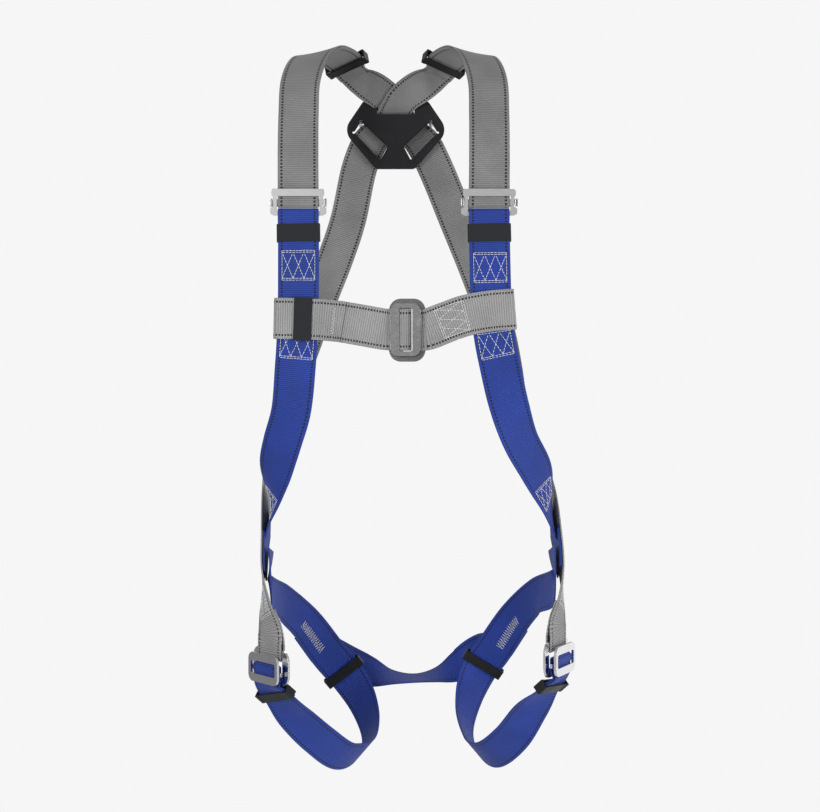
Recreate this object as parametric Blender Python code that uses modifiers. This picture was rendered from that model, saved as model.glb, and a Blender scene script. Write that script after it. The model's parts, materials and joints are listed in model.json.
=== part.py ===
"""Full-body safety harness: shoulder, chest and leg webbing, buckles, keepers and a dorsal D-ring.

The frame is the wearer's: +Z up, the wearer faces -Y, and the origin is the middle of the
dorsal plate's body-side face.  "left" and "right" are the sides seen by someone facing the wearer.
Each strap follows a list of stations: where the middle of the webbing passes, in millimetres,
and the direction in which its outer side faces there.
"""
import math

import bmesh
import bpy
import numpy as np
from mathutils import Matrix, Vector

MM = 0.001
GAP = 0.3                 # between touching pieces
WEB_WIDTH = 45.0
WEB_THICK = 1.8
LAYER = WEB_THICK + GAP   # from one webbing layer's middle to the next one's
STEPS = 4                 # rows of webbing between two stations

PLATE_THICK = 4.0
PINCH = 0.28              # the crossing straps are drawn together this much in the slot
REAR_STRAP = (3.0, 2.2)   # the crossing's rear strap lies this much behind and above its front one
D_BAR = (0.0, 6.8, 17.5)  # the D-ring's hinge line passes here, along X
D_WIRE = 5.0
D_HALF_WIDTH = 44.5
D_LENGTH = 54.0
D_HANGS = 8.0             # degrees below horizontal at rest

SHOULDER_BUCKLE_Z = -117.0
FRONT_Y = -222.0
BUCKLE_TILT = 20.0        # degrees that a shoulder buckle leans, its top bar forward
FRAME_THICK = 2.5
SLIDE_BAR_THICK = 2.6
SLIDE_Z = -117.5
SLIDE_BAR_TALL = 4.0
SLIDE_WINGS = 8.0         # height of the slide bar's finger grips

CHEST_FRAME = (33.0, 57.0, 3.0)
CHEST_SLOT = (15.0, 47.6)
BACK_PLATE = (40.0, 69.0, 2.6)
BACK_SLOT = (20.0, 50.0)
PLATE_SHIFT = 5.0         # the back plate's middle, from the slide bar towards the sewn strap
CHEST_BUCKLE = (10.0, -241.3, -259.0)
FOLD_AT = 5.0             # where the adjusted strap folds, from the slide bar's line
SEWN_FOLD = 15.5          # where the sewn strap folds
SEWN_DEEP = 5.0           # the sewn strap lies this much behind the adjusted one
SEWN = 2.8                # from layer to layer where straps are sewn together at the hip
HIP_ROWS = 30             # rows of webbing from the leg buckle to the hip's end-to-end joint
FRONT_SEWN_ROWS = (21, 16)  # the front strap is sewn on between these rows from the leg buckle
UNDER = 8.4               # the thigh strap lies this far inside the hip strap where it is sewn on
THIGH_SEWN_ROWS = (19, 15)  # and the thigh strap between these
THIGH_ASIDE = {"left": 9, "right": -9}  # the thigh strap is sewn on slanting, by this much
THIGH_KEEPERS = {"left": (-64, -18, -674), "right": (110, -18, -664)}
BUCKLE_KEEPERS = {"left": (-134, -187, -667), "right": (177, -188, -657)}
SHOULDER_KEEPERS = {"left": (-60, -53, 77), "right": (60, -53, 77)}
FRONT_ELASTIC = (-223, -151)  # Y and Z of the elastics on the front straps
CHEST_ELASTIC = (-100, -234.9, -246.7)

COLORS = {
    "grey_webbing": ((0.16, 0.16, 0.17), 0.85, 0.0),
    "blue_webbing": ((0.02, 0.05, 0.32), 0.8, 0.0),
    "elastic": ((0.012, 0.013, 0.016), 0.9, 0.0),
    "steel": ((0.62, 0.63, 0.64), 0.3, 1.0),
    "black_plastic": ((0.014, 0.015, 0.017), 0.5, 0.0),
}

# Stations: x, y, z in millimetres, then the way the outer side faces.
SHOULDER_RISE = [
    (105.5, -222, -119.7, 0, -1, 0),
    (105.5, -222, -98, 0, -1, 0),
    (106, -217, -60, 0, -1, 0.1),
    (106.5, -204, -17, 0.05, -1, 0.3),
    (106, -181, 27, 0.05, -1, 0.75),
    (98, -146, 61, 0.12, -0.6, 1),
    (84, -108, 77, 0.25, 0, 1),
    (68, -70, 80, 0.1, 0.55, 1),
    (50, -36, 71, -0.1, 1, 0.7),
    (26, -12, 55, 0, 1, 0.15),
    (10, -3, 41, 0, 1, 0),
    (0, 2, 27, 0, 1, 0),
]
BACK_TO_LEFT = [
    (-17, 10, 12, 0, 1, 0),
    (-33, 12, -7.5, 0, 1, 0),
    (-47, 10, -44, 0, 1, 0),
    (-60, 6, -106, -0.05, 1, 0),
    (-76, 0, -156, -0.15, 1, 0),
    (-95, -12, -208, -0.3, 1, 0),
    (-112, -32, -262, -0.5, 1, 0),
    (-126, -58, -312, -0.8, 1, 0),
    (-131, -86, -358, -1, 0.8, 0),
    (-141, -110, -402, -1, 0.6, 0),
    (-147, -135, -446, -1, 0.25, 0),
    (-150, -151, -492, -1, 0.05, 0),
    (-150, -167, -536, -1, -0.05, 0),
    (-146, -183, -570, -1, -0.4, 0),
]
BACK_TO_RIGHT = [
    (17, 10, 12, 0, 1, 0),
    (34, 12, -7.5, 0, 1, 0),
    (52, 10, -44, 0, 1, 0),
    (77, 6, -106, 0.05, 1, 0),
    (97, 0, -156, 0.15, 1, 0),
    (114, -12, -204, 0.3, 1, 0),
    (128, -32, -254, 0.5, 1, 0),
    (138, -58, -304, 0.8, 1, 0),
    (146, -88, -352, 1, 0.8, 0),
    (160, -111, -400, 1, 0.6, 0),
    (181, -132, -446, 1, 0.2, 0),
    (188, -152, -490, 1, 0.1, 0),
    (191, -171, -531, 1, 0, 0),
    (189, -185, -562, 1, -0.25, 0),
]
FRONT_LEFT = [
    (-105.5, -222, -128, 0, -1, 0),
    (-105.5, -222, -134, 0, -1, 0),
    (-105.3, -222.4, -142, 0, -1, 0),
    (-105, -223.3, -151, 0, -1, 0),
    (-104.8, -225.4, -166, 0, -1, 0),
    (-104.5, -229, -190, 0, -1, 0),
    (-104.5, -231, -226, 0, -1, 0),
    (-105.5, -231, -262, 0, -1, 0),
    (-108, -228, -298, 0, -1, 0),
    (-113, -222, -346, -0.15, -1, 0),
    (-124, -209, -382, -0.2, -1, 0),
    (-132, -195, -408, -0.4, -1, 0),
    (-138, -179, -438, -0.85, -0.6, 0),
    (-141, -163, -463, -1, 0, 0),
]
FRONT_RIGHT = [
    (105.5, -222, -128, 0, -1, 0),
    (105.5, -222, -134, 0, -1, 0),
    (105.3, -222.4, -142, 0, -1, 0),
    (105.5, -223.3, -151, 0, -1, 0),
    (105.7, -225.4, -166, 0, -1, 0),
    (106, -229, -190, 0, -1, 0),
    (107, -231, -226, 0, -1, 0),
    (110, -231, -262, 0, -1, 0),
    (117, -228, -298, 0, -1, 0),
    (127, -222, -340, 0.15, -1, 0),
    (141, -210, -380, 0.45, -1, 0),
    (161, -194, -416, 0.7, -1, 0),
    (175.5, -175, -453, 1, -0.3, 0),
]
CHEST_LEFT = [
    (-127.4, -228.4, -246, 0, -1, 0),
    (-105, -228.5, -246.5, 0, -1, 0),
    (-84, -228.5, -247.3, 0, -1, 0),
    (-76, -229.5, -247.8, 0, -1, 0),
    (-66, -232.5, -248.8, 0, -1, 0),
    (-56, -235, -250, 0, -1, 0),
    (-34, -239.2, -254, 0, -1, 0),
    (-12, -241.2, -258, 0, -1, 0),
    (0, -241.3, -259, 0, -1, 0),
    (16.2, -241.3, -259, 0, -1, 0),
]
CHEST_RIGHT = [
    (25.8, -236.5, -259, 0, -1, 0),
    (31, -236.5, -259, 0, -1, 0),
    (39, -236.6, -257.6, 0, -1, 0),
    (60, -236, -249.4, 0, -1, 0.12),
    (80, -234, -242.6, 0, -1, 0),
    (106, -233.4, -238, 0, -1, 0),
    (130, -233.4, -236, 0, -1, 0),
]
THIGH_LEFT = [
    (-131, -108, -575, -0.75, 0.9, -0.3),
    (-108, -64, -607, -0.4, 1, -0.3),
    (-83, -30, -649, -0.1, 1, -0.2),
    (-59, -16, -681, 0.2, 1, -0.1),
    (-40, -26, -710, 0.8, 1, -0.2),
    (-30, -54, -737, 1, 0.3, -0.45),
    (-37, -90, -754, 0.8, -0.5, -0.9),
    (-60, -122, -753, 0.3, -1, -0.6),
    (-87, -150, -727, 0, -1, -0.35),
    (-113, -170, -697, -0.35, -1, -0.15),
    (-129, -183, -674, -0.6, -0.8, 0),
]
THIGH_RIGHT = [
    (167, -108, -567, 0.75, 0.9, -0.3),
    (146, -64, -599, 0.4, 1, -0.3),
    (123, -30, -642, 0.1, 1, -0.2),
    (105, -16, -671, -0.2, 1, -0.1),
    (91, -26, -702, -0.8, 1, -0.2),
    (85, -54, -731, -1, 0.3, -0.45),
    (95, -90, -753, -0.8, -0.5, -0.9),
    (112, -122, -751, -0.3, -1, -0.6),
    (135, -150, -725, 0, -1, -0.35),
    (155, -170, -690, 0.4, -1, -0.15),
    (172, -184, -665, 0.75, -0.66, 0),
]
SEAT = [
    (-61, 5, -667, 0, 1, -0.3),
    (-34, 16, -679, -0.1, 0.8, -0.7),
    (-6, 20, -687, 0, 0.25, -1),
    (24, 21, -689, 0, 0.05, -1),
    (52, 20, -684, 0, 0.25, -1),
    (80, 16, -672, 0.1, 0.8, -0.7),
    (105, 10, -655, 0, 1, -0.3),
]
# Where each leg buckle's slide bar is, and how far the buckle faces outwards, in degrees.
LEG_BUCKLES = {"left": ((-144, -194, -639.5), -50), "right": ((189, -194, -629), 62)}


def clear_scene():
    for item in list(bpy.data.objects):
        bpy.data.objects.remove(item, do_unlink=True)


def make_collection(name):
    group = bpy.data.collections.new(name)
    bpy.context.scene.collection.children.link(group)
    return group


def make_material(name):
    color, roughness, metallic = COLORS[name]
    made = bpy.data.materials.new(name)
    made.use_nodes = True
    shader = made.node_tree.nodes["Principled BSDF"]
    shader.inputs["Base Color"].default_value = (*color, 1.0)
    shader.inputs["Roughness"].default_value = roughness
    shader.inputs["Metallic"].default_value = metallic
    return made


def add_mesh(name, mesh, slot):
    piece = bpy.data.objects.new(name, mesh)
    mesh.materials.append(MATERIALS[slot])
    HARNESS.objects.link(piece)
    return piece


# ---- webbing ----------------------------------------------------------------------------------

class Path:
    """Points along a strap, with the way it runs, the way across it and its outer side at each."""

    def __init__(self, points, outer, along=None):
        self.points = np.asarray(points, float)
        if along is None:
            along = np.gradient(self.points, axis=0)
        self.along = unit(np.asarray(along, float))
        self.across = unit(np.cross(self.along, outer))
        self.outer = np.cross(self.across, self.along)

    def part(self, start, stop):
        keep = slice(start, stop)
        return Path(self.points[keep], self.outer[keep], self.along[keep])

    def raised(self, distance):
        """The same path, lifted to its outer side."""
        return Path(self.points + self.outer * np.reshape(distance, (-1, 1)), self.outer, self.along)

    def turned_round(self):
        return Path(self.points[::-1], self.outer[::-1], -self.along[::-1])

    def flipped(self):
        """The same path, with its other side as the outer one."""
        return Path(self.points, -self.outer, self.along)

    def lengths(self):
        runs = np.linalg.norm(np.diff(self.points, axis=0), axis=1)
        return np.concatenate([[0.0], np.cumsum(runs)])

    def matrix(self, index):
        """A frame on the strap: X across it, Y to its inner side, Z the way it runs."""
        rows = np.column_stack(
            [self.across[index], -self.outer[index], self.along[index], self.points[index]])
        return Matrix([[*row] for row in rows] + [[0, 0, 0, 1]])

    def near(self, spot):
        """The row closest to a place."""
        return int(np.argmin(np.linalg.norm(self.points - np.array(spot, float), axis=1)))


def unit(vectors):
    return vectors / np.linalg.norm(vectors, axis=-1, keepdims=True)


def curve_through(stations, steps=STEPS):
    """A smooth strap path through the stations."""
    known = np.asarray(stations, float)
    known[:, 3:] = unit(known[:, 3:])
    ends = [2 * known[0] - known[1], *known, 2 * known[-1] - known[-2]]
    rows = []
    for a, b, c, d in zip(ends, ends[1:], ends[2:], ends[3:]):
        for k in range(steps):
            u = k / steps
            rows.append(0.5 * (2 * b + (c - a) * u + (2 * a - 5 * b + 4 * c - d) * u ** 2
                               + (3 * b - a - 3 * c + d) * u ** 3))
    rows.append(known[-1])
    rows = np.array(rows)
    return Path(rows[:, :3], rows[:, 3:])


def joined(*paths):
    return Path(
        np.concatenate([p.points for p in paths]),
        np.concatenate([p.outer for p in paths]),
        np.concatenate([p.along for p in paths]),
    )


def folded_back(path, apart, hold, blend, length, sides=6):
    """The path, a turn round a bar on its inner side, and a second layer of the given length."""
    back = path.turned_round()
    run = back.lengths()
    back = back.part(0, int(np.searchsorted(run, length)) + 1)
    share = np.clip((back.lengths() - hold) / blend, 0, 1)
    share = share * share * (3 - 2 * share)
    second = back.raised(-(apart + (LAYER - apart) * share))
    second = Path(second.points, -second.outer, second.along)
    end, outer, along = path.points[-1], path.outer[-1], path.along[-1]
    middle = end - outer * apart / 2
    turn_points, turn_outer = [], []
    for k in range(1, sides):
        angle = math.pi * k / sides
        way = outer * math.cos(angle) + along * math.sin(angle)
        turn_points.append(middle + way * apart / 2)
        turn_outer.append(way)
    ways = [along * o.dot(outer) - outer * o.dot(along) for o in turn_outer]
    return joined(path, Path(turn_points, turn_outer, ways), second)


def rest_on_plate(grid, behind, above):
    """Webbing near the dorsal plate follows its slot and the D-ring's bar."""
    heights = [-75, -45, -10, 8, 16, 21, 23, 25, 28, 34, 41, 52, 75]
    depths = [9, 9, 11, 12.4, 12.4, 12, 11.6, 9.8, 2.8, -4.6, -6.4, -6.8, -7]
    for point in grid.reshape(-1, 3):
        x, y, z = point
        held = min(1, (z + 75) / 28, (56 - abs(x)) / 22 if z > 30 else 1)
        if y > -60 and held > 0:
            held = held * held * (3 - 2 * held)
            depth = float(np.interp(z - above, heights, depths)) + behind
            point[1] += (depth - y) * held
            point[0] *= 1 - PINCH * math.exp(-((z - 27) / 12) ** 2)
    return grid


def webbing(name, path, slot, columns=2, shape=None):
    """A strap: an open strip along the path, made solid on both sides of it."""
    shares = np.linspace(-0.5, 0.5, columns + 1) * WEB_WIDTH
    grid = path.points[:, None] + path.across[:, None] * shares[None, :, None]
    if shape:
        grid = shape(grid)
    mesh = bpy.data.meshes.new(name)
    work = bmesh.new()
    rows = [[work.verts.new(Vector(p) * MM) for p in row] for row in grid]
    for low, high in zip(rows, rows[1:]):
        for k in range(columns):
            work.faces.new((low[k], low[k + 1], high[k + 1], high[k]))
    work.to_mesh(mesh)
    work.free()
    piece = add_mesh(name, mesh, slot)
    solid = piece.modifiers.new("webbing_thickness", "SOLIDIFY")
    solid.thickness = WEB_THICK * MM
    solid.offset = 0.0
    return piece


# ---- flat and turned pieces ---------------------------------------------------------------------

def rounded(points, radius, sides=4):
    """A closed outline whose corners are arcs of the given radius, or one radius for each."""
    radii = radius if isinstance(radius, (list, tuple)) else [radius] * len(points)
    corners = [Vector(p) for p in points]
    outline = []
    for k, corner in enumerate(corners):
        before = (corners[k - 1] - corner).normalized()
        after = (corners[(k + 1) % len(corners)] - corner).normalized()
        half = before.angle(after) / 2
        if radii[k] <= 0:
            outline.append(corner)
            continue
        centre = corner + (before + after).normalized() * (radii[k] / math.sin(half))
        start = (corner + before * (radii[k] / math.tan(half)) - centre).normalized()
        end = (corner + after * (radii[k] / math.tan(half)) - centre).normalized()
        for step in range(sides + 1):
            outline.append(centre + start.slerp(end, step / sides) * radii[k])
    return outline


def box_outline(width, height, x=0.0, y=0.0):
    return [(x + sx * width / 2, y + sy * height / 2) for sx, sy in ((-1, -1), (1, -1), (1, 1), (-1, 1))]


def flat_piece(name, outlines, thick, slot, bevel=0.0):
    """A flat outline with holes, extruded; its outline is drawn in X and Z, its thickness in Y."""
    curve = bpy.data.curves.new(name, "CURVE")
    curve.dimensions = "2D"
    curve.fill_mode = "BOTH"
    curve.extrude = thick / 2
    for outline in outlines:
        line = curve.splines.new("POLY")
        line.points.add(len(outline) - 1)
        for spot, (x, y) in zip(line.points, outline):
            spot.co = (x, y, 0.0, 1.0)
        line.use_cyclic_u = True
    drawn = bpy.data.objects.new(name + "_outline", curve)
    HARNESS.objects.link(drawn)
    bpy.context.view_layer.update()
    mesh = bpy.data.meshes.new_from_object(drawn.evaluated_get(bpy.context.evaluated_depsgraph_get()))
    bpy.data.objects.remove(drawn, do_unlink=True)
    mesh.name = name
    mesh.materials.clear()
    work = bmesh.new()
    work.from_mesh(mesh)
    bmesh.ops.remove_doubles(work, verts=work.verts, dist=0.001)
    bmesh.ops.scale(work, vec=(MM, MM, MM), verts=work.verts)
    bmesh.ops.rotate(work, verts=work.verts, matrix=Matrix.Rotation(math.pi / 2, 3, "X"))
    work.to_mesh(mesh)
    work.free()
    piece = add_mesh(name, mesh, slot)
    if bevel:
        edge = piece.modifiers.new("rounded_edges", "BEVEL")
        edge.width = bevel * MM
        edge.segments = 1
        edge.limit_method = "ANGLE"
        edge.angle_limit = math.radians(50)
    return piece


def cut(piece, cutter):
    tool = piece.modifiers.new("cut_" + cutter.name, "BOOLEAN")
    tool.operation = "DIFFERENCE"
    tool.solver = "EXACT"
    tool.object = cutter


def box_cutter(name, size, place, tilt=0.0):
    mesh = bpy.data.meshes.new(name)
    work = bmesh.new()
    bmesh.ops.create_cube(work, size=1.0)
    bmesh.ops.scale(work, vec=Vector(size) * MM, verts=work.verts)
    work.to_mesh(mesh)
    work.free()
    cutter = bpy.data.objects.new(name, mesh)
    cutter.location = Vector(place) * MM
    cutter.rotation_euler = (math.radians(tilt), 0.0, 0.0)
    cutter.hide_render = True
    cutter.display_type = "WIRE"
    CUTTERS.objects.link(cutter)
    return cutter


def place(piece, matrix):
    """Puts a piece drawn in its own millimetre frame at a matrix in millimetres."""
    spot = matrix.copy()
    spot.translation = matrix.translation * MM
    piece.matrix_world = spot
    return piece


def anchor(name, matrix):
    """An empty on a joint's line, which moving pieces hang from."""
    empty = bpy.data.objects.new(name, None)
    empty.empty_display_size = 0.02
    HARNESS.objects.link(empty)
    return place(empty, matrix)


def hang(piece, parent, offset=(0, 0, 0)):
    piece.parent = parent
    piece.location = Vector(offset) * MM
    return piece


# ---- dorsal plate and D-ring --------------------------------------------------------------------

def dorsal_plate():
    outline = rounded(
        [(-25, -43), (24, -43), (66, 5), (41, 42), (-41, 42), (-66, 5)], [8, 8, 18, 5, 5, 18])
    window = [(-44, 17), (-53, 3), (-19, -32), (-10, -15)]
    windows = [rounded([(side * x, z) for x, z in window][::side], 3, 3) for side in (1, -1)]
    plate = flat_piece("dorsal_plate", [outline, *windows], PLATE_THICK, "black_plastic")
    plate.location = (0.0, PLATE_THICK / 2 * MM, 0.0)
    cut(plate, box_cutter("plate_slot", (65, 24, 8.8), (0, 3.4, 28.2), -48))
    return plate


def dorsal_d_ring():
    empty = anchor("d_ring_hinge", Matrix.Translation(D_BAR))
    empty.rotation_euler = (math.radians(-D_HANGS), 0.0, 0.0)
    bend = D_HALF_WIDTH - 4
    outline = [(-D_HALF_WIDTH, 0)]
    for k in range(13):
        angle = math.pi * (1 - k / 12)
        outline.append((D_HALF_WIDTH * math.cos(angle), D_LENGTH - bend + bend * math.sin(angle)))
    outline.append((D_HALF_WIDTH, 0))
    curve = bpy.data.curves.new("dorsal_d_ring", "CURVE")
    curve.dimensions = "3D"
    curve.bevel_depth = D_WIRE / 2 * MM
    curve.bevel_resolution = 2
    line = curve.splines.new("POLY")
    line.points.add(len(outline) - 1)
    for spot, (x, y) in zip(line.points, outline):
        spot.co = (x * MM, y * MM, 0.0, 1.0)
    line.use_cyclic_u = True
    ring = bpy.data.objects.new("dorsal_d_ring", curve)
    curve.materials.append(MATERIALS["steel"])
    HARNESS.objects.link(ring)
    hang(ring, empty)


# ---- shoulder buckles ---------------------------------------------------------------------------

def shoulder_buckle(side, x):
    lean = Matrix.Translation((x, FRONT_Y, SHOULDER_BUCKLE_Z)) @ Matrix.Rotation(
        math.radians(BUCKLE_TILT), 4, "X")
    outline = rounded([
        (-27, -15), (27, -15), (31, -13), (31, -7), (27.5, -5), (27.5, 6), (29, 8), (29, 15),
        (-29, 15), (-29, 8), (-27.5, 6), (-27.5, -5), (-31, -7), (-31, -13)], 0.8, 2)
    window = rounded(box_outline(47, 18, 0, -2), 1.5, 2)
    frame = flat_piece(f"shoulder_frame_{side}", [outline, window], FRAME_THICK, "steel")
    place(frame, lean)
    notch = box_cutter(f"frame_notch_{side}", (70, 8, 8.3), (x, FRONT_Y + 4.9, SLIDE_Z + 1.2))
    cut(frame, notch)
    bar_y = FRONT_Y + WEB_THICK / 2 + GAP + SLIDE_BAR_THICK / 2
    half = SLIDE_BAR_THICK / 2
    hooks = [(-31.5, half), (-31.5, -5.4), (-28.2, -5.4), (-28.2, -half), (28.2, -half), (28.2, -5.4),
             (31.5, -5.4), (31.5, half)]
    bar = flat_piece(f"shoulder_slide_bar_{side}", [rounded(hooks, 0.6, 2)], SLIDE_WINGS, "steel")
    upright = Matrix.Translation((x, bar_y, SLIDE_Z)) @ Matrix.Rotation(-math.pi / 2, 4, "X")
    place(bar, upright)
    for way, edge in ((1, "upper"), (-1, "lower")):
        middle = SLIDE_Z + way * (SLIDE_BAR_TALL + SLIDE_WINGS) / 2
        cut(bar, box_cutter(f"bar_waist_{edge}_{side}", (55.8, 12, SLIDE_WINGS), (x, bar_y, middle)))


# ---- chest and leg buckles ----------------------------------------------------------------------

def pass_through_buckle(name, matrix, tag):
    """Front frame, slide bar and back plate.  X runs from the adjusted strap to the sewn one,
    Y away from the viewer and Z along the bars; the slide bar is at X = 0."""
    wide, tall, thick = CHEST_FRAME
    front = -(WEB_THICK / 2 + GAP * 2 + thick / 2)
    frame = flat_piece(f"{name}_frame{tag}", [
        rounded(box_outline(wide, tall, 3), 7),
        rounded(box_outline(*CHEST_SLOT, 3), 2.5, 2)], thick, "steel", 0.8)
    hinge = anchor(f"{name}_hinge{tag}", matrix @ Matrix.Translation((3 - wide / 2 + 2, front, 0)))
    hang(frame, hinge, (wide / 2 - 2, 0, 0))
    bar = flat_piece(
        f"{name}_slide_bar{tag}", [rounded(box_outline(5.0, 54), 1.2, 2)], SLIDE_BAR_THICK, "steel")
    place(bar, matrix @ Matrix.Translation((-1.5, WEB_THICK / 2 + GAP + SLIDE_BAR_THICK / 2, 0)))
    deep = WEB_THICK * 1.5 + GAP * 3 + SLIDE_BAR_THICK + BACK_PLATE[2] / 2
    plate = flat_piece(f"{name}_plate{tag}", [
        rounded(box_outline(BACK_PLATE[0], BACK_PLATE[1], PLATE_SHIFT), 12),
        rounded(box_outline(*BACK_SLOT, PLATE_SHIFT), 2, 2)], BACK_PLATE[2], "steel", 0.6)
    place(plate, matrix @ Matrix.Translation((0, deep, 0)))


# ---- keepers and elastics -----------------------------------------------------------------------

def loop_round_strap(name, path, index, height, wall, layers, slot, clear=0.5):
    """A closed loop round the webbing's layers, which lie from the path to its inner side."""
    inside = (WEB_WIDTH + 2 * clear, WEB_THICK + (layers - 1) * LAYER + 2 * clear)
    middle = (layers - 1) * LAYER / 2
    outline = rounded(box_outline(inside[0] + 2 * wall, inside[1] + 2 * wall, 0, middle), 1.5, 3)
    hole = rounded(box_outline(*inside, 0, middle), 0.5, 1)
    loop = flat_piece(name, [outline, hole], height, slot)
    turn = path.matrix(index) @ Matrix.Rotation(-math.pi / 2, 4, "X")
    return place(loop, turn)


# ---- assembly -----------------------------------------------------------------------------------

def mirrored(stations):
    return [(-x, y, z, -ox, oy, oz) for x, y, z, ox, oy, oz in stations]


def leg_buckle_matrix(side):
    """The leg buckle's frame: X up, Y away from its viewer, Z along its bars."""
    spot, faces = LEG_BUCKLES[side]
    turn = math.radians(faces)
    away = Vector((-math.sin(turn), math.cos(turn), 0))
    up = Vector((0, 0, 1))
    rows = np.column_stack([up, away, up.cross(away), Vector(spot)])
    return Matrix([[*row] for row in rows] + [[0, 0, 0, 1]])


def from_buckle(matrix, along, deep=0.0):
    """A station beside a buckle: its outer side faces the viewer of the buckle."""
    spot = matrix @ Vector((along, deep, 0))
    outer = matrix.to_3x3() @ Vector((0, -1, 0))
    return (*spot, *outer)


def row_station(path, row, lift, aside=0.0):
    spot = path.points[row] + path.outer[row] * lift + path.across[row] * aside
    return (*spot, *path.outer[row])


def primary_path(rise, back_stations, buckle):
    """From a shoulder buckle over the shoulder, through the dorsal plate and down to the leg."""
    return curve_through([*rise, *back_stations, from_buckle(buckle, 44, SEWN_DEEP),
                          from_buckle(buckle, 30, SEWN_DEEP), from_buckle(buckle, SEWN_FOLD, SEWN_DEEP)])


def primary_strap(side, other, path, rise):
    """Grey webbing from a shoulder buckle to the other side's leg buckle, sewn end to end at the
    hip.  Its adjusting end turns round the slide bar and lies inside it, over the shoulder."""
    hip = len(path.points) - 1 - HIP_ROWS
    upper = path.part(0, hip + 1).turned_round()
    tail = path.lengths()[path.near(rise[8][:3])]
    layer = REAR_STRAP if side == "left" else (0, 0)
    webbing(f"shoulder_strap_{side}", folded_back(upper, 5.2, 5, 30, tail), "grey_webbing", 4,
            lambda grid: rest_on_plate(grid, *layer))
    lower = path.part(hip, None)
    lower.points[0] += lower.along[0] * GAP * 1.2
    webbing(f"hip_strap_{other}", folded_back(lower, 5.2, 15, 14, 48), "grey_webbing")


def front_strap(side, stations, hip_path):
    """Blue webbing from the shoulder buckle down the chest, sewn inside the grey at the hip."""
    first, last = (len(hip_path.points) - rows for rows in FRONT_SEWN_ROWS)
    free = curve_through([*stations, row_station(hip_path, first, -SEWN)])
    path = joined(free, hip_path.part(first + 1, last).raised(-SEWN))
    webbing(f"front_strap_{side}", folded_back(path.turned_round(), 7.6, 4, 9, 78), "blue_webbing")
    return path


def thigh_strap(side, stations, hip_path, buckle):
    """Blue webbing sewn inside the front strap, then round the thigh and up to the leg buckle."""
    first, last = (len(hip_path.points) - rows for rows in THIGH_SEWN_ROWS)
    into_buckle = [from_buckle(buckle, along, deep) for along, deep in ((-18, 1.2), (-9, 0), (FOLD_AT, 0))]
    path = curve_through([row_station(hip_path, first, -UNDER),
                          row_station(hip_path, last, -UNDER, THIGH_ASIDE[side]),
                          *stations, *into_buckle])
    webbing(f"thigh_strap_{side}", folded_back(path, 5.2, 11, 14, 46), "blue_webbing")
    return path


def seat_strap(left, right):
    """Blue webbing under the seat, sewn to the outer side of both thigh straps."""
    a, b = (left.near(THIGH_LEFT[k][:3]) for k in (1, 2))
    c, d = (right.near(THIGH_RIGHT[k][:3]) for k in (1, 2))
    lift = SEWN + GAP
    start, end = left.part(a, b).raised(lift), right.part(c, d).raised(lift).turned_round()
    middle = curve_through([row_station(left, b, lift), *SEAT, row_station(right, d, lift)])
    webbing("seat_strap", joined(start, middle, end), "blue_webbing")


def chest_straps():
    """Two lengths of webbing, each looped round a front strap and joined at the chest buckle."""
    left = folded_back(curve_through(CHEST_LEFT), 5.2, 12, 18, 74)
    left = folded_back(left.turned_round().flipped(), 6.4, 50, 14, 73)
    webbing("chest_strap_left", left, "grey_webbing")
    right = folded_back(curve_through(CHEST_RIGHT), 5.4, 50, 12, 66)
    right = folded_back(right.turned_round(), 5.4, 15, 12, 36)
    webbing("chest_strap_right", right, "grey_webbing")


def main():
    rises = {"left": mirrored(SHOULDER_RISE), "right": SHOULDER_RISE}
    backs = {"left": BACK_TO_LEFT, "right": BACK_TO_RIGHT}
    fronts = {"left": FRONT_LEFT, "right": FRONT_RIGHT}
    thigh_stations = {"left": THIGH_LEFT, "right": THIGH_RIGHT}
    thighs = {}
    for side, other in (("left", "right"), ("right", "left")):
        buckle = leg_buckle_matrix(other)
        primary = primary_path(rises[side], backs[other], buckle)
        primary_strap(side, other, primary, rises[side])
        front = front_strap(other, fronts[other], primary)
        thigh = thighs[other] = thigh_strap(other, thigh_stations[other], primary, buckle)
        pass_through_buckle("leg_buckle", buckle, f"_{other}")
        shoulder_buckle(side, rises[side][0][0])
        loop_round_strap(f"shoulder_keeper_{side}", primary, primary.near(SHOULDER_KEEPERS[side]),
                         12, 1.8, 2, "black_plastic", 3.0)
        loop_round_strap(f"front_elastic_{other}", front, front.near((front.points[0][0], *FRONT_ELASTIC)),
                         20, 1.0, 2, "elastic")
        loop_round_strap(f"thigh_keeper_{other}", thigh, thigh.near(THIGH_KEEPERS[other]), 12, 1.8, 1,
                         "black_plastic", 2.4)
        loop_round_strap(f"buckle_keeper_{other}", thigh, thigh.near(BUCKLE_KEEPERS[other]),
                         13, 1.8, 2, "black_plastic", 1.8)
    seat_strap(thighs["left"], thighs["right"])
    chest_straps()
    pass_through_buckle("chest_buckle", Matrix.Translation(CHEST_BUCKLE), "")
    chest = curve_through(CHEST_LEFT).raised(6.4)
    loop_round_strap("chest_elastic", chest, chest.near(CHEST_ELASTIC), 20, 0.8, 1, "elastic", 0.4)
    dorsal_plate()
    dorsal_d_ring()


clear_scene()
HARNESS = make_collection("safety_harness")
CUTTERS = make_collection("cutters")
MATERIALS = {name: make_material(name) for name in COLORS}
main()
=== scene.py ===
"""Full-body safety harness: the detailed look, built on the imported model's frame.

Straps follow the same stations as the solids: where the middle of the webbing passes, in
millimetres, and the direction in which its outer side faces.  "left" and "right" are the sides
seen by someone facing the wearer.
"""
import json
import math

import bmesh
import bpy
import numpy as np
from mathutils import Matrix, Vector

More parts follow.
